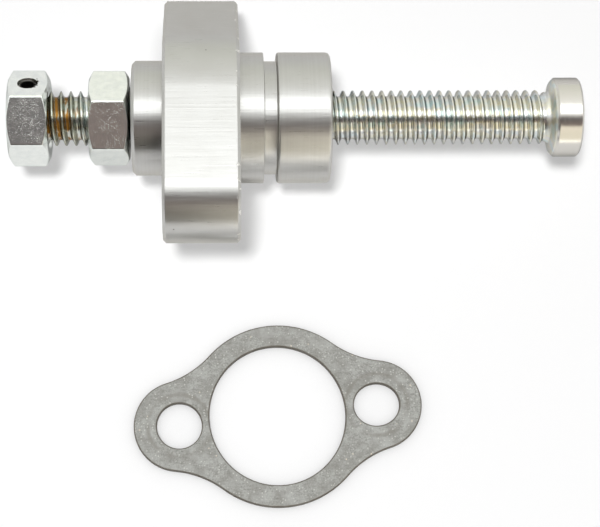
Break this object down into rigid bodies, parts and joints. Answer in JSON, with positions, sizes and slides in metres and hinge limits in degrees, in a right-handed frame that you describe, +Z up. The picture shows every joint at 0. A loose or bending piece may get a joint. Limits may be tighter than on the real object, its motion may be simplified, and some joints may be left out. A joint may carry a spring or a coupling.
{
  "type": "cam chain tensioner",
  "caption": "Manual cam chain tensioner: turned body with eared flange and O-ring groove, push screw with a round button, pinned head nut, lock nut and a loose flange gasket.",
  "frame": {"origin": "centre of the flange's sealing face, on the screw's axis", "axes": "+X along the screw towards its button, +Z up as it lies on a bench on the flange's lower flat"},
  "size_m": [0.0828, 0.0756, 0.0262],
  "materials": {
    "machined_aluminium": "satin, fine turning marks",
    "zinc_screw": "bright zinc plate with a faint yellow and pink bloom",
    "zinc_nut": "bright clear zinc plate",
    "spring_steel": "black oiled spring steel",
    "gasket_sheet": "grey speckled gasket sheet"
  },
  "bodies": {
    "housing": {"body": "machined_aluminium", "flange_gasket": "gasket_sheet"},
    "adjuster": {"adjuster_screw": "zinc_screw", "head_nut": "zinc_nut", "roll_pin": "spring_steel"},
    "lock_nut": {"lock_nut": "zinc_nut"}
  },
  "joints": [
    {"name": "adjuster_travel", "type": "slide", "parent": "housing", "child": "adjuster", "axis": [1, 0, 0], "range_m": [-0.03104, 0.00423]},
    {"name": "lock_nut_turn", "type": "hinge", "parent": "housing", "child": "lock_nut", "pos_m": [-0.0187, 0, 0], "axis": [1, 0, 0], "range_deg": [-270, 60]}
  ]
}
